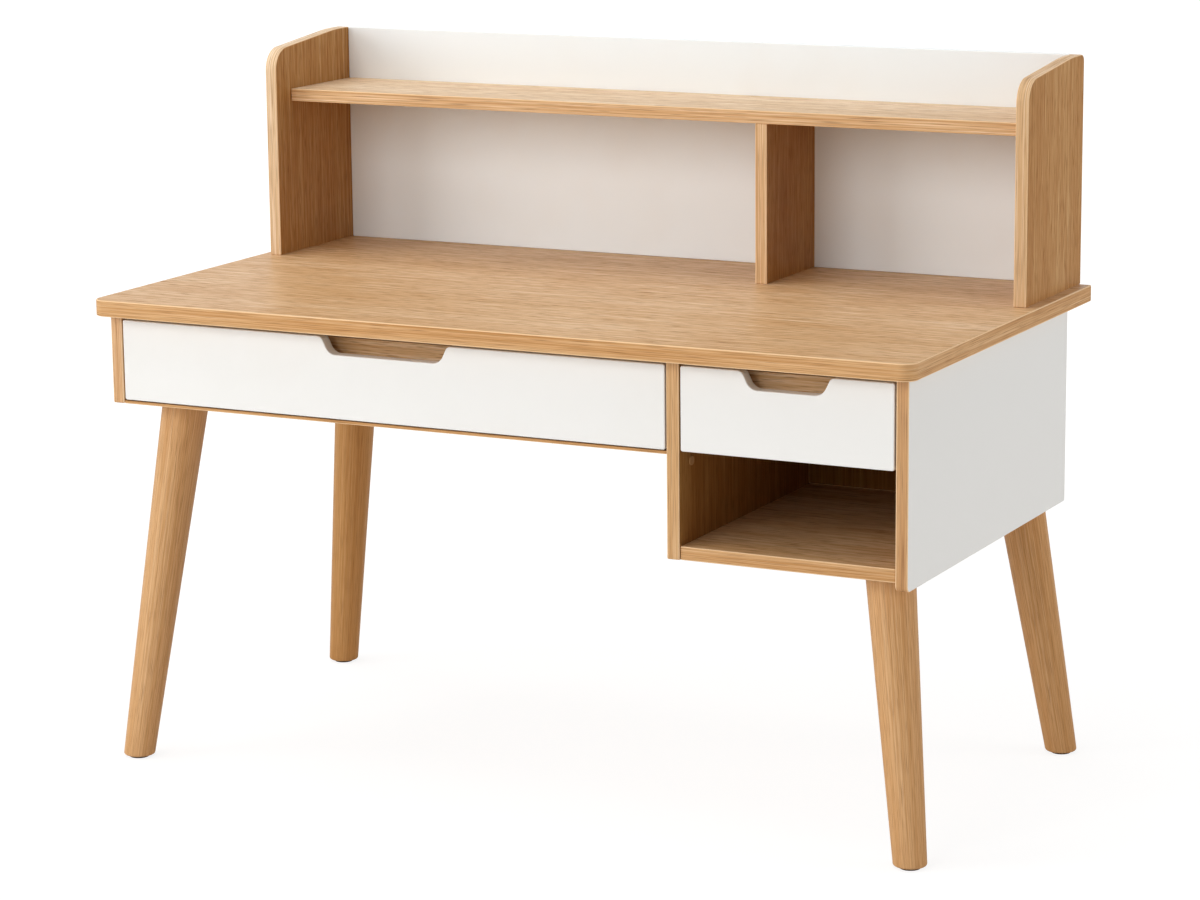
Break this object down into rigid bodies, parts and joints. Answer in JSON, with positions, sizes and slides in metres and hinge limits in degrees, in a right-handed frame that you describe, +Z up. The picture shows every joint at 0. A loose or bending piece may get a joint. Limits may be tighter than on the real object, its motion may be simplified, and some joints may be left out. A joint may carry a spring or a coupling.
{
  "type": "student desk with hutch",
  "caption": "Oak and white student desk on splayed round legs, with finger-pull drawers, an open side cubby and a shelf hutch standing on the desktop.",
  "frame": {"origin": "on the floor under the middle of the desktop", "axes": "+Z up, +X to the sitter's right along the desktop, +Y from the sitter to the wall"},
  "size_m": [1.2145, 0.655, 0.977],
  "materials": {
    "oak_veneered_board": "satin lacquered oak veneer",
    "turned_oak": "satin lacquered solid oak",
    "white_lacquered_board": "white satin lacquer on fibreboard",
    "white_faced_oak_edged_board": "white satin laminate outside, oak edges and inner face",
    "drawer_box_board": "lacquered birch plywood",
    "hardboard": "smooth hardboard",
    "beech_dowel": "raw beech",
    "zinc_plated_steel": "bright zinc plating",
    "capped_bolt": "steel bolt with an oak-coloured cap",
    "nylon": "natural nylon",
    "dark_plastic": "dark moulded plastic"
  },
  "bodies": {
    "carcass": {"bay_back": "oak_veneered_board", "bay_bottom": "oak_veneered_board", "bracket_bolts": "capped_bolt", "bracket_nuts": "zinc_plated_steel", "confirmat_screws": "zinc_plated_steel", "corner_brackets": "zinc_plated_steel", "cubby_back": "oak_veneered_board", "cubby_floor": "oak_veneered_board", "desktop": "oak_veneered_board", "foot_glides": "dark_plastic", "hutch_back": "white_lacquered_board", "hutch_back_screws": "zinc_plated_steel", "hutch_divider": "oak_veneered_board", "hutch_left_end": "oak_veneered_board", "hutch_right_end": "oak_veneered_board", "hutch_shelf": "oak_veneered_board", "left_side_panel": "white_faced_oak_edged_board", "leg_bolts": "zinc_plated_steel", "leg_front_left": "turned_oak", "leg_front_right": "turned_oak", "leg_inserts": "zinc_plated_steel", "leg_rear_left": "turned_oak", "leg_rear_right": "turned_oak", "panel_dowels": "beech_dowel", "panel_screws": "zinc_plated_steel", "partition": "oak_veneered_board", "right_side_panel": "white_faced_oak_edged_board", "small_slide_outer_left": "zinc_plated_steel", "small_slide_outer_right": "zinc_plated_steel", "wide_slide_outer_left": "zinc_plated_steel", "wide_slide_outer_right": "zinc_plated_steel"},
    "wide_drawer": {"wide_box_screws": "zinc_plated_steel", "wide_drawer_back": "drawer_box_board", "wide_drawer_bottom": "hardboard", "wide_drawer_front": "white_lacquered_board", "wide_drawer_left": "drawer_box_board", "wide_drawer_right": "drawer_box_board", "wide_front_dowels": "beech_dowel", "wide_inner_front": "oak_veneered_board", "wide_slide_inner_left": "zinc_plated_steel", "wide_slide_inner_right": "zinc_plated_steel", "wide_slide_screws": "zinc_plated_steel"},
    "wide_slides": {"wide_slide_bearings": "nylon", "wide_slide_middle_left": "zinc_plated_steel", "wide_slide_middle_right": "zinc_plated_steel"},
    "small_drawer": {"small_box_screws": "zinc_plated_steel", "small_drawer_back": "drawer_box_board", "small_drawer_bottom": "hardboard", "small_drawer_front": "white_lacquered_board", "small_drawer_left": "drawer_box_board", "small_drawer_right": "drawer_box_board", "small_front_dowels": "beech_dowel", "small_inner_front": "oak_veneered_board", "small_slide_inner_left": "zinc_plated_steel", "small_slide_inner_right": "zinc_plated_steel", "small_slide_screws": "zinc_plated_steel"},
    "small_slides": {"small_slide_bearings": "nylon", "small_slide_middle_left": "zinc_plated_steel", "small_slide_middle_right": "zinc_plated_steel"}
  },
  "joints": [
    {"name": "wide_drawer_slide", "type": "slide", "parent": "carcass", "child": "wide_drawer", "axis": [0, -1, 0], "range_m": [0, 0.4]},
    {"name": "wide_slide_middle_slide", "type": "slide", "parent": "carcass", "child": "wide_slides", "axis": [0, -1, 0], "range_m": [0, 0.2]},
    {"name": "small_drawer_slide", "type": "slide", "parent": "carcass", "child": "small_drawer", "axis": [0, -1, 0], "range_m": [0, 0.3]},
    {"name": "small_slide_middle_slide", "type": "slide", "parent": "carcass", "child": "small_slides", "axis": [0, -1, 0], "range_m": [0, 0.15]}
  ],
  "couplings": [
    {"joint": "wide_slide_middle_slide", "follows": "wide_drawer_slide", "ratio": 0.5},
    {"joint": "small_slide_middle_slide", "follows": "small_drawer_slide", "ratio": 0.5}
  ]
}
